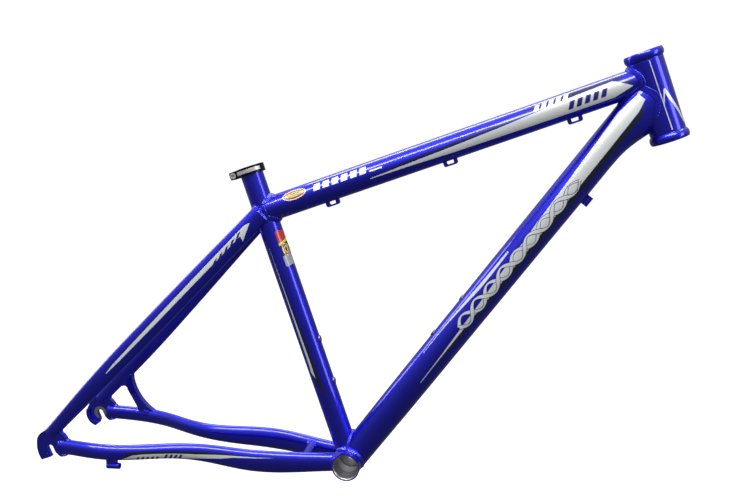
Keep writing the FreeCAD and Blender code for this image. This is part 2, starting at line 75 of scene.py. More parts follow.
# Stay stations: x, half spacing, z, height, width
CHAINSTAY = (
    (-414, 71, 30.7, 22.2, 15), (-374, 72, 28, 22.6, 15.5), (-338, 70.5, 25, 22.8, 16),
    (-302, 61, 22.4, 22.3, 16.5), (-266, 47, 19.6, 22.2, 17), (-230, 38, 16.6, 24, 17),
    (-190, 37.5, 13.2, 27.8, 17), (-150, 41, 9.8, 31, 17), (-110, 39, 6.7, 32, 17),
    (-70, 30.5, 3.8, 30, 17), (-30, 20.5, 1.5, 27.5, 17), (-4, 15.5, 0.5, 26.5, 17))
SEATSTAY = (
    (-427, 71, 50.5, 18, 13), (-403, 71.5, 74, 20.5, 14), (-378, 71, 98.5, 23, 15),
    (-330, 66.5, 145.5, 26.5, 16), (-280, 55.5, 194.5, 28, 16), (-230, 43, 243.5, 28.5, 16),
    (-180, 31, 292.5, 28, 15.5), (-130, 20.5, 341, 27, 15), (-110, 16.5, 360.5, 27, 15))

# Seat clamp
CLAMP_MIDDLE = 438.5
CLAMP_RADIUS = 20.2
BAND_HEIGHT = 5.3
BAND_DEPTH = 0.9
BAND_CHAMFER = 0.3
BAND_STEPS = 64
BAND_HALF_ANGLE = 61.0

# Rounded ends of the stays
DOME_OVERLAP = 0.6
DOME_POINTS = 40


def direction(angle):
    return Vector((cos(radians(angle)), 0, sin(radians(angle))))


SEAT_DIR = direction(180 - SEAT_ANGLE)
HEAD_DIR = direction(180 - HEAD_ANGLE)
DOWN_DIR = direction(DOWN_ANGLE)
SEAT_FRONT = direction(90 - SEAT_ANGLE)
HEAD_FRONT = direction(90 - HEAD_ANGLE)
DOWN_UP = direction(DOWN_ANGLE + 90)
TOP_START = SEAT_DIR * TOP_TUBE_ON_SEAT_TUBE
TOP_DIR = (HEAD_BOTTOM + HEAD_DIR * TOP_TUBE_ON_HEAD_TUBE - TOP_START).normalized()
TOP_UP = Vector((-TOP_DIR.z, 0, TOP_DIR.x))


# ---------------------------------------------------------------- materials

def linear(red, green, blue):
    """Linear colour from 0..255 display values."""
    def one(value):
        value /= 255
        return value / 12.92 if value <= 0.04045 else ((value + 0.055) / 1.055) ** 2.4
    return (one(red), one(green), one(blue), 1.0)


class Shader:
    """A node material under construction."""

    def __init__(self, name):
        self.material = bpy.data.materials.new(name)
        self.material.use_nodes = True
        self.tree = self.material.node_tree
        self.nodes = self.tree.nodes
        self.bsdf = self.nodes["Principled BSDF"]
        coordinates = self.nodes.new("ShaderNodeTexCoord")
        self.position = coordinates.outputs["Object"]

    def link(self, output, target):
        self.tree.links.new(output, target)

    def set(self, **values):
        for name, value in values.items():
            self.bsdf.inputs[name.replace("_", " ")].default_value = value
        return self

    def noise(self, scale, detail=2.0, roughness=0.5, stretch=None):
        node = self.nodes.new("ShaderNodeTexNoise")
        node.inputs["Scale"].default_value = scale
        node.inputs["Detail"].default_value = detail
        node.inputs["Roughness"].default_value = roughness
        source = self.position
        if stretch:
            source = self.vector("MULTIPLY", source, stretch)
        self.link(source, node.inputs["Vector"])
        return node.outputs["Fac"]

    def cells(self, scale):
        node = self.nodes.new("ShaderNodeTexVoronoi")
        node.inputs["Scale"].default_value = scale
        self.link(self.position, node.inputs["Vector"])
        return node.outputs["Color"]

    def vector(self, operation, first, second, output="Vector"):
        node = self.nodes.new("ShaderNodeVectorMath")
        node.operation = operation
        for socket, value in zip(node.inputs, (first, second)):
            if isinstance(value, bpy.types.NodeSocket):
                self.link(value, socket)
            else:
                socket.default_value = value
        return node.outputs[output]

    def math(self, operation, first, second=0.0):
        node = self.nodes.new("ShaderNodeMath")
        node.operation = operation
        for socket, value in zip(node.inputs, (first, second)):
            if isinstance(value, bpy.types.NodeSocket):
                self.link(value, socket)
            else:
                socket.default_value = value
        return node.outputs[0]

    def remap(self, value, low, high, start=0.0, end=1.0):
        node = self.nodes.new("ShaderNodeMapRange")
        self.link(value, node.inputs["Value"])
        limits = (start, end, low, high)
        for name, limit in zip(("From Min", "From Max", "To Min", "To Max"), limits):
            node.inputs[name].default_value = limit
        return node.outputs["Result"]

    def mix(self, factor, first, second):
        node = self.nodes.new("ShaderNodeMix")
        node.data_type = "RGBA"
        self.link(factor, node.inputs[0])
        for socket, value in ((node.inputs[6], first), (node.inputs[7], second)):
            if isinstance(value, bpy.types.NodeSocket):
                self.link(value, socket)
            else:
                socket.default_value = value
        return node.outputs[2]

    def bump(self, height, distance, strength=1.0, target="Normal"):
        node = self.nodes.new("ShaderNodeBump")
        node.inputs["Distance"].default_value = distance
        node.inputs["Strength"].default_value = strength
        self.link(height, node.inputs["Height"])
        if self.bsdf.inputs[target].is_linked:
            self.link(self.bsdf.inputs[target].links[0].from_socket, node.inputs["Normal"])
        self.link(node.outputs[0], self.bsdf.inputs[target])

    def near_axis(self, origin, axis, radius):
        """1 within this distance of a line, 0 outside it; origin and radius in mm."""
        offset = self.vector("SUBTRACT", self.position, tuple(origin * MM))
        along = self.vector("CROSS_PRODUCT", offset, tuple(axis))
        away = self.vector("LENGTH", along, (0, 0, 0), "Value")
        return self.math("LESS_THAN", away, radius * MM)


PAINT_DEEP = linear(15, 16, 142)
PAINT_BRIGHT = linear(32, 34, 222)


def paint(name, bare_masks=(), ripple=False):
    """Candy blue: metallic flake under a tinted base and a clear coat; bare metal in masks.

    A mask is a function that takes the shader and gives 1 where the metal is bare.
    """
    shader = Shader(name)
    shader.set(Metallic=0.92, Coat_Weight=1.0, Coat_Roughness=0.035, Coat_IOR=1.5)
    flakes = shader.cells(2600)
    split = shader.nodes.new("ShaderNodeSeparateColor")
    shader.link(flakes, split.inputs[0])
    cloud = shader.noise(14, 3)
    tone = shader.math("ADD", shader.math("MULTIPLY", split.outputs[0], 0.30),
                       shader.remap(cloud, 0.25, 0.75))
    colour = shader.mix(tone, PAINT_DEEP, PAINT_BRIGHT)
    roughness = shader.remap(split.outputs[1], 0.30, 0.46)
    if bare_masks:
        mask = bare_masks[0](shader)
        for other in bare_masks[1:]:
            mask = shader.math("MAXIMUM", mask, other(shader))
        metal = shader.mix(shader.noise(900, 3), linear(150, 150, 152), linear(196, 196, 198))
        colour = shader.mix(mask, colour, metal)
        shader.link(shader.remap(mask, 0.92, 1.0), shader.bsdf.inputs["Metallic"])
    shader.link(colour, shader.bsdf.inputs["Base Color"])
    shader.link(roughness, shader.bsdf.inputs["Roughness"])
    shader.bump(split.outputs[2], 0.00003, 0.35)
    shader.bump(shader.noise(160, 2), 0.00004, 0.12 if not ripple else 0.5, "Coat Normal")
    return shader.material


def vinyl(name, colour, metallic=0.0, roughness=0.3, grain=0.06):
    """Decal film under the clear coat, with a fine pearl grain."""
    shader = Shader(name)
    shader.set(Metallic=metallic, Coat_Weight=0.9, Coat_Roughness=0.05)
    darker = tuple(value * (1 - 2.5 * grain) for value in colour[:3]) + (1.0,)
    grains = shader.noise(1800, 2, 0.6)
    shader.link(shader.mix(grains, darker, colour), shader.bsdf.inputs["Base Color"])
    shader.link(shader.remap(grains, roughness - 0.06, roughness + 0.08),
                shader.bsdf.inputs["Roughness"])
    shader.bump(grains, 0.00002, 0.3)
    return shader.material


def metal(name, dark, light, roughness, stretch=(1, 1, 1), scale=700, coat=0.0, metallic=1.0):
    """Machined or anodised metal with fine tool marks along the unstretched axis."""
    shader = Shader(name)
    shader.set(Metallic=metallic, Coat_Weight=coat, Coat_Roughness=0.15)
    marks = shader.noise(scale, 4, 0.6, stretch)
    stains = shader.noise(60, 2)
    colour = shader.mix(shader.math("MULTIPLY", marks, stains), dark, light)
    shader.link(colour, shader.bsdf.inputs["Base Color"])
    shader.link(shader.remap(marks, roughness - 0.08, roughness + 0.12),
                shader.bsdf.inputs["Roughness"])
    shader.bump(marks, 0.00004, 0.5)
    return shader.material


def inside_shell(shader):
    bore = shader.near_axis(Vector((0, 0, 0)), SIDE, THREAD_RADIUS + 1.6)
    return bore


def inside_head_tube(shader):
    return shader.near_axis(HEAD_BOTTOM, HEAD_DIR, CUP_RADIUS + 0.12)


def inside_seat_tube(shader):
    return shader.near_axis(Vector((0, 0, 0)), SEAT_DIR, SEAT_RADIUS - 0.5)


def locknut_seat(shader):
    """Round bare facing round the axle, on the plates' inner faces only."""
    near = shader.near_axis(AXLE, SIDE, 10.45)
    split = shader.nodes.new("ShaderNodeSeparateXYZ")
    shader.link(shader.position, split.inputs[0])
    depth = shader.math("ABSOLUTE", split.outputs[1])
    return shader.math("MULTIPLY", near, shader.math("LESS_THAN", depth, (HUB_HALF + 0.35) * MM))


PAINT = paint("candy_blue_paint")
PAINT_WELD = paint("candy_blue_over_weld", ripple=True)
PAINT_SHELL = paint("candy_blue_shell", (inside_shell,))
PAINT_HEAD = paint("candy_blue_head_tube", (inside_head_tube,))
PAINT_SEAT = paint("candy_blue_seat_tube", (inside_seat_tube,))
PAINT_DROPOUT = paint("candy_blue_dropout", (locknut_seat,))
SILVER = vinyl("decal_silver", linear(212, 217, 214), 0.25, 0.34, 0.05)
WHITE = vinyl("decal_white", linear(236, 238, 240), 0.0, 0.3, 0.02)
BLACK = vinyl("decal_black", linear(9, 9, 12), 0.0, 0.3, 0.1)
NAVY = vinyl("decal_navy", linear(24, 20, 120), 0.2, 0.3, 0.1)
RED = vinyl("decal_red", linear(196, 34, 22), 0.0, 0.3, 0.08)
LIME = vinyl("decal_lime", linear(206, 214, 62), 0.0, 0.3, 0.06)
GREY = vinyl("decal_grey", linear(158, 162, 164), 0.1, 0.4, 0.12)
BARE = metal("bare_aluminium", linear(140, 140, 143), linear(205, 205, 207), 0.3)
ANODISED = metal("black_anodised", linear(12, 12, 14), linear(38, 38, 41), 0.34, coat=0.3)
BAND = metal("silver_band", linear(190, 190, 194), linear(238, 238, 240), 0.3, (1, 1, 6), metallic=0.6)
STEEL = metal("bolt_steel", linear(190, 190, 190), linear(235, 234, 230), 0.3, metallic=0.6)


def dress_cad_nodes():
    special = {
        "bottom_bracket_shell": PAINT_SHELL, "head_tube": PAINT_HEAD, "seat_tube": PAINT_SEAT,
        "dropout_left": PAINT_DROPOUT, "dropout_right": PAINT_DROPOUT,
        "bottle_inserts_down_tube": BARE, "bottle_inserts_seat_tube": BARE,
        "seat_clamp_collar": ANODISED, "seat_clamp_bolt": STEEL}
    for name, node in NODES.items():
        material = special.get(name, PAINT)
        if not node.material_slots:
            node.data.materials.append(material)
        for slot in node.material_slots:
            slot.material = material


# ---------------------------------------------------------------- mesh helpers

def add_piece(name, points, faces, material, body="frame", normals=None, smooth=True):
    """A piece from points in mm that rides on a CAD body."""
    mesh = bpy.data.meshes.new(name)
    mesh.from_pydata([tuple(Vector(p) * MM) for p in points], [], faces)
    mesh.materials.append(material)
    mesh.polygons.foreach_set("use_smooth", [smooth] * len(mesh.polygons))
    mesh.update()
    if normals:
        mesh.normals_split_custom_set_from_vertices([tuple(n) for n in normals])
    piece = bpy.data.objects.new(name, mesh)
    bpy.context.scene.collection.objects.link(piece)
    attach(piece, body)
    return piece


def ring_sweep(rings, closed_path):
    """Quads that join rings of equal point counts; every ring is a closed loop."""
    count, size = len(rings), len(rings[0])
    points = [p for ring in rings for p in ring]
    faces = []
    for i in range(count if closed_path else count - 1):
        j = (i + 1) % count
        for k in range(size):
            m = (k + 1) % size
            faces.append((i * size + k, i * size + m, j * size + m, j * size + k))
    if not closed_path:
        faces.append(tuple(range(size)))
        faces.append(tuple((count - 1) * size + k for k in reversed(range(size))))
    return points, faces


def search_tree(*names):
    """Ray and nearest-point search over CAD nodes, in metres."""
    points, faces = [], []
    for name in names:
        mesh = NODES[name].data
        start = len(points)
        points += [v.co.copy() for v in mesh.vertices]
        faces += [tuple(start + i for i in p.vertices) for p in mesh.polygons]
    return BVHTree.FromPolygons(points, faces)


def interpolate(table, x):
    """Values of a station table at x, by a smooth curve through the stations."""
    rows = list(table)
    x = min(max(x, rows[0][0]), rows[-1][0])
    i = max(k for k in range(len(rows) - 1) if rows[k][0] <= x or k == 0)
    span = rows[i + 1][0] - rows[i][0]
    t = (x - rows[i][0]) / span

    def slope(k, column):
        low, high = max(k - 1, 0), min(k + 1, len(rows) - 1)
        return (rows[high][column] - rows[low][column]) / (rows[high][0] - rows[low][0])

    values = []
    for column in range(1, len(rows[0])):
        start, end = rows[i][column], rows[i + 1][column]
        bend_in, bend_out = slope(i, column) * span, slope(i + 1, column) * span
        values.append((2 * t ** 3 - 3 * t ** 2 + 1) * start + (t ** 3 - 2 * t ** 2 + t) * bend_in
                      + (3 * t ** 2 - 2 * t ** 3) * end + (t ** 3 - t ** 2) * bend_out)
    return values


# ---------------------------------------------------------------- surfaces that carry decals

class Tube:
    """Round tube; `along` runs up it and `around` is arc length from its side line."""

    def __init__(self, node, start, axis, up, radius, flare=((0, 0), (1, 0))):
        self.start, self.axis, self.up, self.radius = start, axis, up, radius
        self.flare = flare
        self.tree = search_tree(node)

    def at(self, along, around, side):
        """Point and outward normal; side is -1 on the drive side and +1 on the left."""
        angle = around / self.radius
        height = self.radius * sin(angle)
        extra = max(0.0, interpolate(self.flare, along)[0])
        deep = self.radius + extra / 2
        share = (height + extra / 2) / deep
        width = self.radius * sqrt(max(0.0, 1 - share * share))
        if abs(angle) > pi / 2:
            width = -width
        where = self.start + self.axis * along + self.up * height + SIDE * (side * width)
        normal = self.up * (share / deep) + SIDE * (side * width / self.radius ** 2)
        return where, normal.normalized()

    def seat(self, along, around, side):
        """The same, with the point moved onto the CAD surface."""
        where, normal = self.at(along, around, side)
        start = (where + normal * 6) * MM
        hit = self.tree.ray_cast(start, -normal, 9 * MM)[0]
        return (hit / MM if hit else where), normal


class Stay:
    """Curved stay; `along` is x and `around` the height above its axis in side view."""

    def __init__(self, table, node):
        self.table = table
        self.trees = {side: search_tree(f"{node}_{name}")
                      for side, name in ((-1, "right"), (1, "left"))}

    def smooth_point(self, x, rise, side):
        step = 2.0
        high, low = interpolate(self.table, x + step), interpolate(self.table, x - step)
        slope = (high[1] - low[1]) / (2 * step)
        cosine = 1 / sqrt(1 + slope * slope)
        half_spacing, z, height, width = interpolate(self.table, x + rise * slope * cosine ** 2)
        share = min(0.985, max(-0.985, rise * cosine / (height / 2)))
        z = interpolate(self.table, x)[1]
        return Vector((x, side * (half_spacing + width / 2 * sqrt(1 - share * share)), z + rise))

    def seat(self, x, rise, side):
        step = 1.0
        along = self.smooth_point(x + step, rise, side) - self.smooth_point(x - step, rise, side)
        across = self.smooth_point(x, rise + step, side) - self.smooth_point(x, rise - step, side)
        normal = along.cross(across).normalized()
        if normal.y * side < 0:
            normal = -normal
        where = self.smooth_point(x, rise, side)
        start = Vector((where.x, side * 150, where.z)) * MM
        hit = self.trees[side].ray_cast(start, SIDE * -side)[0]
        return (hit / MM if hit else where), normal


TOP_TUBE = Tube("top_tube", TOP_START, TOP_DIR, TOP_UP, TOP_RADIUS)
DOWN_TUBE = Tube("down_tube", DOWN_TUBE_FOOT, DOWN_DIR, DOWN_UP, DOWN_RADIUS, FLARE)
SEAT_TUBE = Tube("seat_tube", Vector((0, 0, 0)), SEAT_DIR, SEAT_FRONT, SEAT_RADIUS)
HEAD_TUBE = Tube("head_tube", HEAD_BOTTOM, HEAD_DIR, HEAD_FRONT, HEAD_RADIUS)
CHAINSTAY_SKIN = Stay(CHAINSTAY, "chainstay")
SEATSTAY_SKIN = Stay(SEATSTAY, "seatstay")

FILM = 0.10
FILM_ROOT = -0.35


def decal(name, surface, outline, material, layer=1, sides=(-1, 1), grid=(6.0, 1.6)):
    """A closed film of this flat outline, wrapped round a surface, on each named side."""
    for side in sides:
        flat = bmesh.new()
        corners = [flat.verts.new((along, around, 0)) for along, around in outline]
        flat.faces.new(corners)
        bmesh.ops.triangulate(flat, faces=flat.faces[:])
        for axis, step in ((0, grid[0]), (1, grid[1])):
            low = min(v.co[axis] for v in flat.verts)
            high = max(v.co[axis] for v in flat.verts)
            for cut in range(1, ceil((high - low) / step)):
                place = Vector((0, 0, 0))
                place[axis] = low + cut * step
                normal = Vector((0, 0, 0))
                normal[axis] = 1
                bmesh.ops.bisect_plane(flat, geom=flat.verts[:] + flat.edges[:] + flat.faces[:],
                                       dist=0.0001, plane_co=place, plane_no=normal)
        flat.verts.index_update()
        count = len(flat.verts)
        tops, roots, normals = [], [], []
        for vert in flat.verts:
            where, normal = surface.seat(vert.co.x, vert.co.y, side)
            tops.append(where + normal * (FILM * layer))
            roots.append(where + normal * FILM_ROOT)
            normals.append(normal)
        faces = []
        edges = set()
        for face in flat.faces:
            loop = [v.index for v in face.verts]
            first, second, third = (tops[i] for i in loop[:3])
            if (second - first).cross(third - first).dot(normals[loop[0]]) < 0:
                loop.reverse()
            faces.append(tuple(loop))
            faces.append(tuple(count + i for i in reversed(loop)))
            edges.update(zip(loop, loop[1:] + loop[:1]))
        faces += [(b, a, count + a, count + b) for a, b in sorted(edges) if (b, a) not in edges]
        flat.free()
        suffix = "_right" if side < 0 else "_left"
        add_piece(name + suffix, tops + roots, faces, material, "frame", normals + normals)


def smooth_path(points, steps=8):
    """Catmull-Rom curve through points of any dimension."""
    path = []
    for i in range(len(points) - 1):
        before = points[max(i - 1, 0)]
        after = points[min(i + 2, len(points) - 1)]
        for k in range(steps):
            t = k / steps
            path.append(tuple(
                0.5 * (2 * b + (c - a) * t + (2 * a - 5 * b + 4 * c - d) * t * t
                       + (3 * b - a - 3 * c + d) * t ** 3)
                for a, b, c, d in zip(before, points[i], points[i + 1], after)))
    path.append(tuple(points[-1]))
    return path


def ribbon(points, extra=0.0):
    """Outline of a stroke through (along, around, width) points."""
    path = smooth_path(points)
    left, right = [], []
    for i, (along, around, width) in enumerate(path):
        ahead, behind = path[min(i + 1, len(path) - 1)], path[max(i - 1, 0)]
        dx, dy = ahead[0] - behind[0], ahead[1] - behind[1]
        length = hypot(dx, dy)
        half = width / 2 + extra
        left.append((along - dy / length * half, around + dx / length * half))
        right.append((along + dy / length * half, around - dx / length * half))
    return left + right[::-1]


def ellipse(along, around, half_length, half_height, count=40):
    return [(along + half_length * cos(2 * pi * k / count),
             around + half_height * sin(2 * pi * k / count)) for k in range(count)]


def slanted_bar(along, low, high, width, lean=0.45):
    """Parallelogram that leans forwards as it rises."""
    shift = (high - low) * lean
    return [(along, low), (along + width, low), (along + width + shift, high),
            (along + shift, high)]


def bar_row(name, surface, bars, material, layer=2, sides=(-1, 1)):
    """Plain slanted bars that stand where the real frame carries lettering."""
    for index, bar in enumerate(bars):
        decal(f"{name}_{index + 1}", surface, slanted_bar(*bar), material, layer, sides)


# ---------------------------------------------------------------- decals

def badge(name, surface, along, around, half_length, half_height):
    """Plain oval badge of nested ovals, in place of the maker's one."""
    ovals = ((WHITE, 1.0, 0), (RED, 0.8, 1), (LIME, 0.5, 2), (BLACK, 0.24, 3))
    for material, share, level in ovals:
        outline = ellipse(along, around, half_length - half_height * (1 - share),
                          half_height * share)
        decal(f"{name}_{level + 1}", surface, outline, material, level + 1)


def top_tube_decals():
    silver_top = [(161, -5), (200, -3.4), (280, -0.6), (340, 2), (400, 6), (450, 9.6), (493, 11.6)]
    silver_low = [(515.5, -2.8), (490, -10), (440, -10.2), (280, -8.8), (220, -6.8), (161, -6)]
    decal("top_tube_silver_wedge", TOP_TUBE, silver_top + silver_low, SILVER)
    gap = 1.3
    black_low = [(a, w + gap) for a, w in silver_top[1:]] + [(511.5, 1.6)]
    black_top = [(518.5, 0.4), (500, 14.5), (470, 16.6), (440, 16.2), (400, 12.2), (340, 6.6),
                 (280, 3.4), (225, 1.2), (180, -1.8)]
    decal("top_tube_black_band", TOP_TUBE, black_low + black_top, BLACK)
    badge("top_tube_badge", TOP_TUBE, 53, 8.8, 17.6, 7.2)
    white_bars = [(81 + 13.5 * k, 3.6, 13.4, 9.5, 0.22) for k in range(6)]
    bar_row("top_tube_white_bar", TOP_TUBE, white_bars, WHITE, 1)
    bar_row("top_tube_white_dash", TOP_TUBE, [(163, 3.4, 5.6, 18, 0.2)], WHITE, 1)
    upper = [(390 + 9.6 * k, 6.8 + 0.35 * k, 15.6 + 0.35 * k, 6.6, 0.5) for k in range(5)]
    bar_row("top_tube_light_bar", TOP_TUBE, upper, SILVER, 2)
    lower = [(432 + 10.5 * k, -5.4 + 0.2 * k, 4.6 + 0.2 * k, 6.4, 0.5) for k in range(5)]
    bar_row("top_tube_navy_bar", TOP_TUBE, lower, NAVY, 2)


def down_tube_decals():
    top = [(165, -6), (210, -4.4), (255, -2.2), (320, 1), (380, 5), (440, 9), (500, 11.6),
           (560, 15), (608, 18.3)]
    low = [(638.5, 11.4), (638.5, 1), (622, -2.6), (560, -3.6), (500, -4.2), (400, -5),
           (255, -5.4), (200, -6), (165, -6.6)]
    decal("down_tube_silver_wedge", DOWN_TUBE, top + low, SILVER)
    black = [(190, -7.2), (255, -6.2), (400, -5.8), (500, -5), (560, -4.4), (622, -3.4),
             (634, -2.4), (619, -9.4), (560, -10.6), (440, -11), (300, -10.5), (230, -9)]
    decal("down_tube_black_stripe", DOWN_TUBE, black, BLACK)
    streak = [(200, 18, 0.6), (245, 18.2, 1.4), (285, 16.6, 3.4), (320, 14.6, 5), (355, 14.3, 4),
              (383, 14.6, 2.6)]
    decal("down_tube_upper_streak", DOWN_TUBE, ribbon(streak), SILVER, 2)
    strands, waves, low, high = 2, 4.5, 262, 512
    for strand in range(strands):
        points = []
        for k in range(int(waves * 8) + 1):
            share = k / (waves * 8)
            swing = 8.2 * sin(2 * pi * (share * waves + strand / strands)) * (1 - 0.25 * share)
            width = 3.4 + 1.6 * cos(4 * pi * share * waves) - 2.6 * max(0, share - 0.9) * 10
            points.append((low + (high - low) * share, 0.5 + swing, max(0.8, width)))
        decal(f"down_tube_braid_shadow_{strand + 1}", DOWN_TUBE, ribbon(points, 0.7), NAVY,
              2 + 2 * strand)
        decal(f"down_tube_braid_{strand + 1}", DOWN_TUBE, ribbon(points), SILVER, 3 + 2 * strand)


def seat_tube_decals():
    silver = [(131, -5), (160, -4.6), (200, -5), (260, -6), (330, -7), (260, -7.2), (200, -8),
              (150, -8.6), (141, -9.6)]
    decal("seat_tube_silver_line", SEAT_TUBE, silver, SILVER)
    black = [(98, 0.6), (140, -0.4), (200, -1.6), (270, -4.4), (300, -5.6), (200, -4.6),
             (160, -4.2), (130, -4.6), (140, -9.6)]
    decal("seat_tube_black_arrow", SEAT_TUBE, black, BLACK)
    front = pi / 2 * SEAT_RADIUS
    patches = (
        ("foot", GREY, ((296, 8.6), (311, 8.6), (311, front), (296, front))),
        ("black", BLACK, ((311, 8.6), (326, 8.6), (330, front), (311, front))),
        ("stripe", LIME, ((326, 8.6), (329.5, 8.6), (334, front), (330, front))),
        ("red", RED, ((329.5, 8.6), (347, 8.6), (347, front), (334, front))))
    for name, material, corners in patches:
        decal(f"seat_tube_patch_{name}", SEAT_TUBE, list(corners), material)
    badge("seat_tube_badge", SEAT_TUBE, 319, 17.5, 8.8, 6.2)


def head_tube_decals():
    decal("head_tube_pinstripe", HEAD_TUBE, [(14, 1.4), (46, 1), (104, 0.2), (104, 1.4),
                                             (60, 1.8), (14, 2.8)], SILVER)
    short_leg = [(64, 7.4, 2.4), (55, 4.2, 1.6), (45, 1.2, 1.2)]
    long_leg = [(65.5, 7.6, 2.2), (56, 10.4, 4.4), (43, 15.6, 4.2), (30, 21, 4), (19, 25.2, 3.2)]
    decal("head_tube_chevron_short", HEAD_TUBE, ribbon(short_leg), SILVER, 2)
    decal("head_tube_chevron_long", HEAD_TUBE, ribbon(long_leg), SILVER, 3)


def stay_decals():
    seat = [(-330, -1), (-320, 1.2), (-290, 2.4), (-250, 3.8), (-200, 5), (-150, 5.8),
            (-131, 6), (-123, 1.5), (-134, -13.6), (-137, -3.2), (-200, -3.6), (-260, -4),
            (-310, -3.6), (-330, -2)]
    decal("seatstay_silver_stripe", SEATSTAY_SKIN, seat, SILVER)
    bars = [(-178 + 8.4 * k, -7.5 + 0.9 * k, -0.5 + 0.9 * k, 4, 0.6) for k in range(5)]
    bar_row("seatstay_navy_bar", SEATSTAY_SKIN, bars, NAVY, 2)
    chain = [(-322, -10), (-317, -7), (-303, -1.2), (-290, -0.2), (-240, -0.5), (-218, 0.2),
             (-200, 2), (-180, 4.5), (-160, 6.6), (-140, 7.9), (-101, 9), (-140, 6.3),
             (-160, 4), (-180, -0.8), (-200, -4), (-220, -6.6), (-236, -8.8), (-250, -9.8),
             (-300, -9.8)]
    decal("chainstay_silver_wedge", CHAINSTAY_SKIN, chain, SILVER)
    black = [(-321, -7), (-318, -4.6), (-306, 3), (-298, 4.2), (-270, 3.4), (-235, 3.4),
             (-200, 5.4), (-168, 7.8), (-150, 8.4), (-160, 7.1), (-180, 5), (-200, 2.5),
             (-218, 0.7), (-240, 0), (-290, 0.3), (-303, -0.7), (-317, -6.5)]
    decal("chainstay_black_edge", CHAINSTAY_SKIN, black, BLACK)
    small = [(-300 + 6.2 * k, -9.4, -4.4, 3, 0.6) for k in range(5)]
    large = [(-264 + 6.6 * k, -8.6, -1.6, 3.2, 0.6) for k in range(4)]
    bar_row("chainstay_navy_bar", CHAINSTAY_SKIN, small + large, NAVY, 2)


# ---------------------------------------------------------------- weld beads

WELD_PITCH = 2.3
WELD_RIPPLE = 0.32
WELD_SECTION = 9


def first_hit(points, target):
    """First place where a line of points in mm meets the target."""
    for here, there in zip(points, points[1:]):
        step = there - here
        hit, normal, _, _ = target.ray_cast(here * MM, step.normalized(), step.length * MM)
        if hit is not None:
            return hit / MM, normal, step.normalized()
    return None


def corner_ring(lines, target):
    """Where lines that run along a tube's skin meet its neighbours.

    A line is (points, skin normal, step out to the skin). Returns (place on the skin, place on
    the neighbour, skin normal, neighbour normal, travel). A line that passes beside the
    neighbour ends at the tube's end and is tied to the neighbour's nearest place.
    """
    ring = []
    for points, skin, step in lines:
        found = first_hit(points, target)
        if found:
            corner, normal, travel = found
            if normal.dot(travel) > 0:
                normal = -normal
            ring.append((corner + step, corner, skin, normal, travel))
        else:
            end = points[-1]
            near = target.find_nearest(end * MM)[0] / MM
            travel = (points[-1] - points[-2]).normalized()
            ring.append((end, near, skin, (end - near).normalized(), travel))
    return ring


def resample(ring, spacing):
    """Even steps round a closed ring of corners."""
    lengths = [0.0]
    closed = ring + ring[:1]
    for first, second in zip(closed, closed[1:]):
        lengths.append(lengths[-1] + (second[0] - first[0]).length)
    count = max(24, round(lengths[-1] / spacing))
    result, index = [], 0
    for k in range(count):
        target = lengths[-1] * k / count
        while lengths[index + 1] < target:
            index += 1
        share = (target - lengths[index]) / max(1e-6, lengths[index + 1] - lengths[index])
        result.append(tuple(a.lerp(b, share) for a, b in zip(closed[index], closed[index + 1])))
    return result, lengths[-1]


def weld_bead(name, ring, skin_width=4.6, side_width=3.8, bulge=0.62):
    """Rippled bead in the corner: each ripple is a crescent, like a row of stacked coins."""
    steps_per_ripple = 6
    corners, length = resample(ring, WELD_PITCH / steps_per_ripple)
    ripples = max(4, round(length / WELD_PITCH))
    rings = []
    for index, (on_skin, on_side, skin, normal, travel) in enumerate(corners):
        skin, normal, travel = skin.normalized(), normal.normalized(), travel.normalized()
        away = skin + travel
        away = (away - normal * away.dot(normal)).normalized()
        foot = on_skin - travel * skin_width + skin * 0.05
        head = on_side + away * side_width + normal * 0.05
        corner = (on_skin + on_side) / 2
        middle = corner + (head + foot - corner * 2) * bulge
        outward = (head + foot) / 2 - corner
        outward = outward.normalized() if outward.length > 0.3 else (skin + normal).normalized()
        wobble = 0.35 * sin(index * 0.11) + 0.2 * sin(index * 0.043)
        section = []
        for k in range(WELD_SECTION):
            v = k / (WELD_SECTION - 1)
            across = 2 * v - 1
            where = foot * (1 - v) ** 2 + middle * (2 * v * (1 - v)) + head * v ** 2
            phase = index / len(corners) * ripples + 0.32 * across * across
            wave = abs(sin(pi * phase)) - 0.6
            lift = WELD_RIPPLE * wave + 0.25 * wobble
            section.append(where + outward * (lift * (1 - across ** 4)))
        section.append(corner - outward * 1.2)
        rings.append(section)
    points, faces = ring_sweep(rings, True)
    return add_piece(name, points, faces, PAINT_WELD)


def tube_lines(tube, start, end, count=96, width_limit=None):
    """Lines along a tube's skin, all round it, from one distance to another.

    Where the neighbour is narrower than the tube, width_limit keeps every line on it, and the
    line remembers how far out the skin really is.
    """
    lines = []
    steps = 12
    for k in range(count):
        angle = 2 * pi * k / count
        around = tube.radius * angle
        if around > pi * tube.radius:
            around -= 2 * pi * tube.radius
        points = []
        for i in range(steps + 1):
            along = start + (end - start) * i / steps
            where = tube.at(along, around, 1)[0]
            step = Vector((0, 0, 0))
            if width_limit and abs(where.y) > width_limit:
                inside = width_limit if where.y > 0 else -width_limit
                step.y = where.y - inside
                where.y = inside
            points.append(where)
        lines.append((points, tube.at(start, around, 1)[1], step))
    return lines


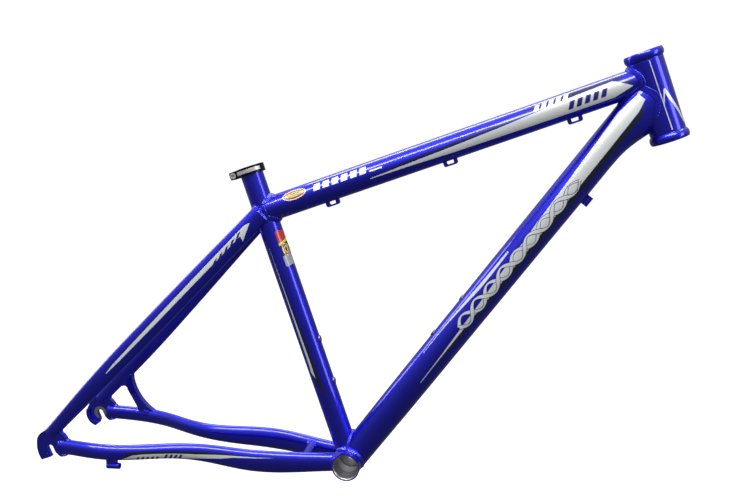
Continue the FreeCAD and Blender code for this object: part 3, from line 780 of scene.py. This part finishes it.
def stay_lines(table, side, start, end, count=72):
    """Lines along a stay's skin between two x positions, carried on straight past its end."""
    lines = []
    steps = 8
    for k in range(count):
        angle = 2 * pi * k / count
        points = []
        skin = None
        for i in range(steps + 1):
            x = start + (end - start) * i / steps
            here = interpolate(table, x)
            step = 3.0 if end > start else -3.0
            back = interpolate(table, x - step)
            path = Vector((step, here[0] - back[0], here[1] - back[1])).normalized()
            up = Vector((0, 0, 1))
            up = (up - path * up.dot(path)).normalized()
            across = path.cross(up) if step < 0 else up.cross(path)
            centre = Vector((x, here[0], here[1]))
            radial = across * (here[3] / 2 * cos(angle)) + up * (here[2] / 2 * sin(angle))
            where = centre + radial
            points.append(Vector((where.x, where.y * side, where.z)))
            if skin is None:
                skin = (across * (cos(angle) / here[3]) + up * (sin(angle) / here[2])).normalized()
                skin.y *= side
        lines.append((points, skin, Vector((0, 0, 0))))
    return lines


def rod_lines(centre, axis, across, up, half_across, half_up, reach, count=40):
    """Lines along a straight bar of oval or, with equal halves, round section."""
    lines = []
    for k in range(count):
        angle = 2 * pi * k / count
        offset = across * (half_across * cos(angle)) + up * (half_up * sin(angle))
        skin = (across * (cos(angle) / half_across) + up * (sin(angle) / half_up)).normalized()
        start = centre + offset
        lines.append(([start, start + axis * reach], skin, Vector((0, 0, 0))))
    return lines


def make_welds():
    weld_bead("weld_top_tube_at_seat_tube",
              corner_ring(tube_lines(TOP_TUBE, 60, -12, 120, SEAT_RADIUS * 0.985),
                          search_tree("seat_tube")), 5.5, 4)
    weld_bead("weld_top_tube_at_head_tube",
              corner_ring(tube_lines(TOP_TUBE, 480, 540, 120), search_tree("head_tube")), 4.6, 4.4)
    weld_bead("weld_down_tube_at_head_tube",
              corner_ring(tube_lines(DOWN_TUBE, 540, 650, 160),
                          search_tree("head_tube", "top_tube")), 4.6, 4.4)
    weld_bead("weld_down_tube_at_shell",
              corner_ring(tube_lines(DOWN_TUBE, 120, 0, 140),
                          search_tree("bottom_bracket_shell", "seat_tube")), 5.2, 4.2)
    weld_bead("weld_seat_tube_at_shell",
              corner_ring(tube_lines(SEAT_TUBE, 110, 0, 120),
                          search_tree("bottom_bracket_shell", "down_tube", "chainstay_left",
                                      "chainstay_right")), 5, 4.2)
    for side, name in ((-1, "right"), (1, "left")):
        weld_bead(f"weld_chainstay_{name}_at_shell",
                  corner_ring(stay_lines(CHAINSTAY, side, -70, -6),
                              search_tree("bottom_bracket_shell", "seat_tube")), 5, 4)
        weld_bead(f"weld_seatstay_{name}_at_seat_tube",
                  corner_ring(stay_lines(SEATSTAY, side, -170, -111),
                              search_tree("seat_tube", "top_tube")), 4.4, 3.6)
        plate = search_tree(f"dropout_{name}")
        weld_bead(f"weld_chainstay_{name}_at_dropout",
                  corner_ring(stay_lines(CHAINSTAY, side, -385, -412.5), plate), 3, 2.4, 0.7)
        weld_bead(f"weld_seatstay_{name}_at_dropout",
                  corner_ring(stay_lines(SEATSTAY, side, -405, -426.5), plate), 3, 2.4, 0.7)
    bridges = (("chainstay", Vector((-62, 0, 8)), 6.0), ("seatstay", Vector((-160, 0, 311)), 7.0))
    for stay, centre, radius in bridges:
        for side, name in ((-1, "right"), (1, "left")):
            lines = rod_lines(centre, SIDE * side, Vector((1, 0, 0)), Vector((0, 0, 1)),
                              radius, radius, 45)
            weld_bead(f"weld_{stay}_bridge_{name}",
                      corner_ring(lines, search_tree(f"{stay}_{name}")), 3, 3)
    ends = (("seatstay", Vector((-372, 70.8, 62)), Vector((-0.02, 0, 1)).normalized(), 6.5),
            ("chainstay", Vector((-352, 70.8, 52)), Vector((0.30, 0, -1)).normalized(), 7.5))
    for stay, centre, axis, half in ends:
        across = axis.cross(SIDE)
        lines = rod_lines(centre, axis, across, SIDE, half, 4.8, 45)
        weld_bead(f"weld_disc_brace_at_{stay}",
                  corner_ring(lines, search_tree(f"{stay}_left")), 3, 3)


# ---------------------------------------------------------------- threads, bare faces, trim

def thread(name, centre, axis, across, radius, length, pitch, depth, per_turn):
    """Helical ridge with a flat crest that stands inwards from a bore's wall."""
    up = axis.cross(across)
    turns = length / pitch
    taper = 0.06
    rings = []
    for k in range(int(turns * per_turn) + 1):
        share = k / (turns * per_turn)
        angle = 2 * pi * k / per_turn
        fade = min(1.0, share / taper, (1 - share) / taper)
        out = across * cos(angle) + up * sin(angle)
        middle = centre + axis * (length * share)
        crest = radius - depth * max(0.05, fade)
        root = radius + 0.15
        profile = ((root, -0.42), (crest, -0.16), (crest, 0.16), (root, 0.42))
        rings.append([middle + out * distance + axis * (pitch * height)
                      for distance, height in profile])
    points, faces = ring_sweep(rings, False)
    return add_piece(name, points, faces, BARE, smooth=False)


def collar_arc(name, centre, axis, across, profile, material, body, arc, count):
    """Arc of revolution, in degrees, with a closed (radius, height) profile."""
    up = axis.cross(across)
    rings = []
    for k in range(count + 1):
        angle = radians(arc[0] + (arc[1] - arc[0]) * k / count)
        out = across * cos(angle) + up * sin(angle)
        rings.append([centre + out * radius + axis * height for radius, height in profile])
    points, faces = ring_sweep(rings, False)
    return add_piece(name, points, faces, material, body, smooth=False)


def make_threads():
    forward = Vector((1, 0, 0))
    for side, name in ((-1, "drive_side"), (1, "left_side")):
        inner = SHELL_HALF - THREAD_LENGTH
        thread(f"shell_thread_{name}", Vector((0, side * inner, 0)), SIDE * side, forward,
               THREAD_RADIUS, THREAD_LENGTH - THREAD_RUNOUT, THREAD_PITCH, THREAD_DEPTH, 120)
    mounts = [m for m in frame["record"]["mounts"] if m["name"].startswith("bottle_cage")]
    for mount in mounts:
        axis = Vector(mount["axis"])
        middle = Vector(mount["pos_m"]) / MM
        thread("thread_" + mount["name"], middle - axis * INSERT_LENGTH / 2, axis, SIDE,
               INSERT_RADIUS, INSERT_LENGTH, INSERT_PITCH, INSERT_DEPTH, 32)


def make_clamp_trim():
    centre = SEAT_DIR * CLAMP_MIDDLE
    half = BAND_HEIGHT / 2
    inner = CLAMP_RADIUS - BAND_DEPTH
    edge = CLAMP_RADIUS - 0.28
    face = CLAMP_RADIUS - 0.1
    profile = ((inner, -half), (edge, -half), (face, BAND_CHAMFER - half),
               (face, half - BAND_CHAMFER), (edge, half), (inner, half))
    for name, middle in (("left", 90), ("right", -90)):
        arc = (middle - BAND_HALF_ANGLE, middle + BAND_HALF_ANGLE)
        collar_arc(f"clamp_silver_band_{name}", centre, SEAT_DIR, SEAT_FRONT, profile, BAND,
                   "seat_clamp", arc, BAND_STEPS)


def make_stay_domes():
    """Closed rounded ends of the stays, where the dropout plates enter them."""
    for table, node, length in ((CHAINSTAY, "chainstay", 3.4), (SEATSTAY, "seatstay", 3.6)):
        x = table[0][0]
        here, ahead = interpolate(table, x), interpolate(table, x + 6)
        for side, name in ((-1, "right"), (1, "left")):
            centre = Vector((x, here[0] * side, here[1]))
            path = Vector((6, (ahead[0] - here[0]) * side, ahead[1] - here[1])).normalized()
            up = (Vector((0, 0, 1)) - path * path.z).normalized()
            across = path.cross(up)
            rings = []
            for level in range(9):
                angle = pi / 2 * level / 8.6
                middle = centre + path * (DOME_OVERLAP - (length + DOME_OVERLAP) * sin(angle))
                scale = cos(angle) * 1.002
                rings.append([middle + up * (here[2] / 2 * scale * sin(2 * pi * k / DOME_POINTS))
                              + across * (here[3] / 2 * scale * cos(2 * pi * k / DOME_POINTS))
                              for k in range(DOME_POINTS)])
            points, faces = ring_sweep(rings, False)
            add_piece(f"{node}_end_{name}", points, faces, PAINT)


# ---------------------------------------------------------------- stage, lights and camera

FLOOR_Z = -0.31
CAMERA_PLACE = Vector((0.22904, -1.04881, 0.47674))
CAMERA_YAW = -9.84
CAMERA_PITCH = -9.13
CAMERA_ROLL = -1.80
LENS = 37.39
SHIFT = 0.5 / 750


def make_floor():
    """Pale paper on the ground; it lights neither the paint nor its reflections."""
    half = 30.0
    mesh = bpy.data.meshes.new("floor")
    corners = [(-half, -half, FLOOR_Z), (half, -half, FLOOR_Z), (half, half, FLOOR_Z),
               (-half, half, FLOOR_Z)]
    mesh.from_pydata(corners, [], [(0, 1, 2, 3)])
    floor = bpy.data.objects.new("floor", mesh)
    bpy.context.scene.collection.objects.link(floor)
    floor.visible_glossy = False
    floor.visible_diffuse = False
    shader = Shader("pale_floor")
    shader.set(Roughness=0.9, Specular_IOR_Level=0.0, Emission_Strength=0.93)
    tone = shader.mix(shader.noise(3, 2), (0.98, 0.98, 0.98, 1), (1, 1, 1, 1))
    paper = shader.mix(shader.noise(3, 2), (0.20, 0.20, 0.20, 1), (0.21, 0.21, 0.21, 1))
    shader.link(paper, shader.bsdf.inputs["Base Color"])
    shader.link(tone, shader.bsdf.inputs["Emission Color"])
    mesh.materials.append(shader.material)


def area_light(name, place, target, size, power, colour=(1, 1, 1)):
    light = bpy.data.lights.new(name, "AREA")
    light.shape = "RECTANGLE"
    light.size, light.size_y = size
    light.energy = power
    light.color = colour
    lamp = bpy.data.objects.new(name, light)
    lamp.location = place
    lamp.rotation_mode = "QUATERNION"
    lamp.rotation_quaternion = (Vector(target) - Vector(place)).to_track_quat("-Z", "Y")
    bpy.context.scene.collection.objects.link(lamp)


def make_world():
    """White behind everything; the paint sees a bright ceiling that fades towards the ground."""
    world = bpy.data.worlds.new("studio")
    world.use_nodes = True
    tree = world.node_tree
    nodes = tree.nodes
    coordinates = nodes.new("ShaderNodeTexCoord")
    split = nodes.new("ShaderNodeSeparateXYZ")
    tree.links.new(coordinates.outputs["Generated"], split.inputs[0])
    ramp = nodes.new("ShaderNodeMapRange")
    tree.links.new(split.outputs[2], ramp.inputs["Value"])
    for name, value in (("From Min", -1.0), ("From Max", 1.0), ("To Min", 0.0), ("To Max", 1.0)):
        ramp.inputs[name].default_value = value
    sky = nodes.new("ShaderNodeValToRGB")
    tree.links.new(ramp.outputs["Result"], sky.inputs[0])
    stops = ((0.0, 0.09), (0.45, 0.15), (0.62, 0.27), (0.8, 0.6), (1.0, 0.8))
    elements = sky.color_ramp.elements
    while len(elements) < len(stops):
        elements.new(0.5)
    for element, (place, level) in zip(elements, stops):
        element.position = place
        element.color = (level, level, level * 1.04, 1)
    ambient = nodes["Background"]
    tree.links.new(sky.outputs[0], ambient.inputs["Color"])
    ambient.inputs["Strength"].default_value = 1.0
    seen = nodes.new("ShaderNodeBackground")
    seen.inputs["Color"].default_value = (1, 1, 1, 1)
    seen.inputs["Strength"].default_value = 1.05
    path = nodes.new("ShaderNodeLightPath")
    choice = nodes.new("ShaderNodeMixShader")
    tree.links.new(path.outputs["Is Camera Ray"], choice.inputs[0])
    tree.links.new(ambient.outputs[0], choice.inputs[1])
    tree.links.new(seen.outputs[0], choice.inputs[2])
    tree.links.new(choice.outputs[0], nodes["World Output"].inputs["Surface"])
    bpy.context.scene.world = world
    bpy.context.scene.view_settings.view_transform = "Standard"


def make_lights():
    centre = (0, 0, 0.25)
    area_light("key_over_camera", (-0.2, -1.5, 2.1), centre, (2.6, 0.5), 64)
    area_light("overhead_back", (0.1, 0.9, 2.2), centre, (2.8, 0.5), 45)
    area_light("rear_fill", (-2.2, 0.6, 0.9), centre, (0.8, 1.6), 16)
    area_light("front_fill", (2.4, -0.9, 0.9), centre, (0.8, 1.6), 16)
    make_world()


def make_camera():
    yaw, pitch, roll = radians(CAMERA_YAW), radians(CAMERA_PITCH), radians(CAMERA_ROLL)
    ahead = Vector((sin(yaw) * cos(pitch), cos(yaw) * cos(pitch), sin(pitch)))
    level_right = Vector((cos(yaw), -sin(yaw), 0))
    level_up = level_right.cross(ahead)
    right = level_right * cos(roll) + level_up * sin(roll)
    up = level_up * cos(roll) - level_right * sin(roll)
    data = bpy.data.cameras.new("camera")
    data.sensor_width = 36
    data.lens = LENS
    data.shift_x, data.shift_y = -SHIFT, SHIFT
    data.clip_start, data.clip_end = 0.05, 60
    camera = bpy.data.objects.new("camera", data)
    rows = Matrix((right, up, -ahead)).transposed()
    camera.matrix_world = Matrix.Translation(CAMERA_PLACE) @ rows.to_4x4()
    bpy.context.scene.collection.objects.link(camera)
    bpy.context.scene.camera = camera


dress_cad_nodes()
top_tube_decals()
down_tube_decals()
seat_tube_decals()
head_tube_decals()
stay_decals()
make_welds()
make_threads()
make_clamp_trim()
make_stay_domes()
make_floor()
make_lights()
make_camera()
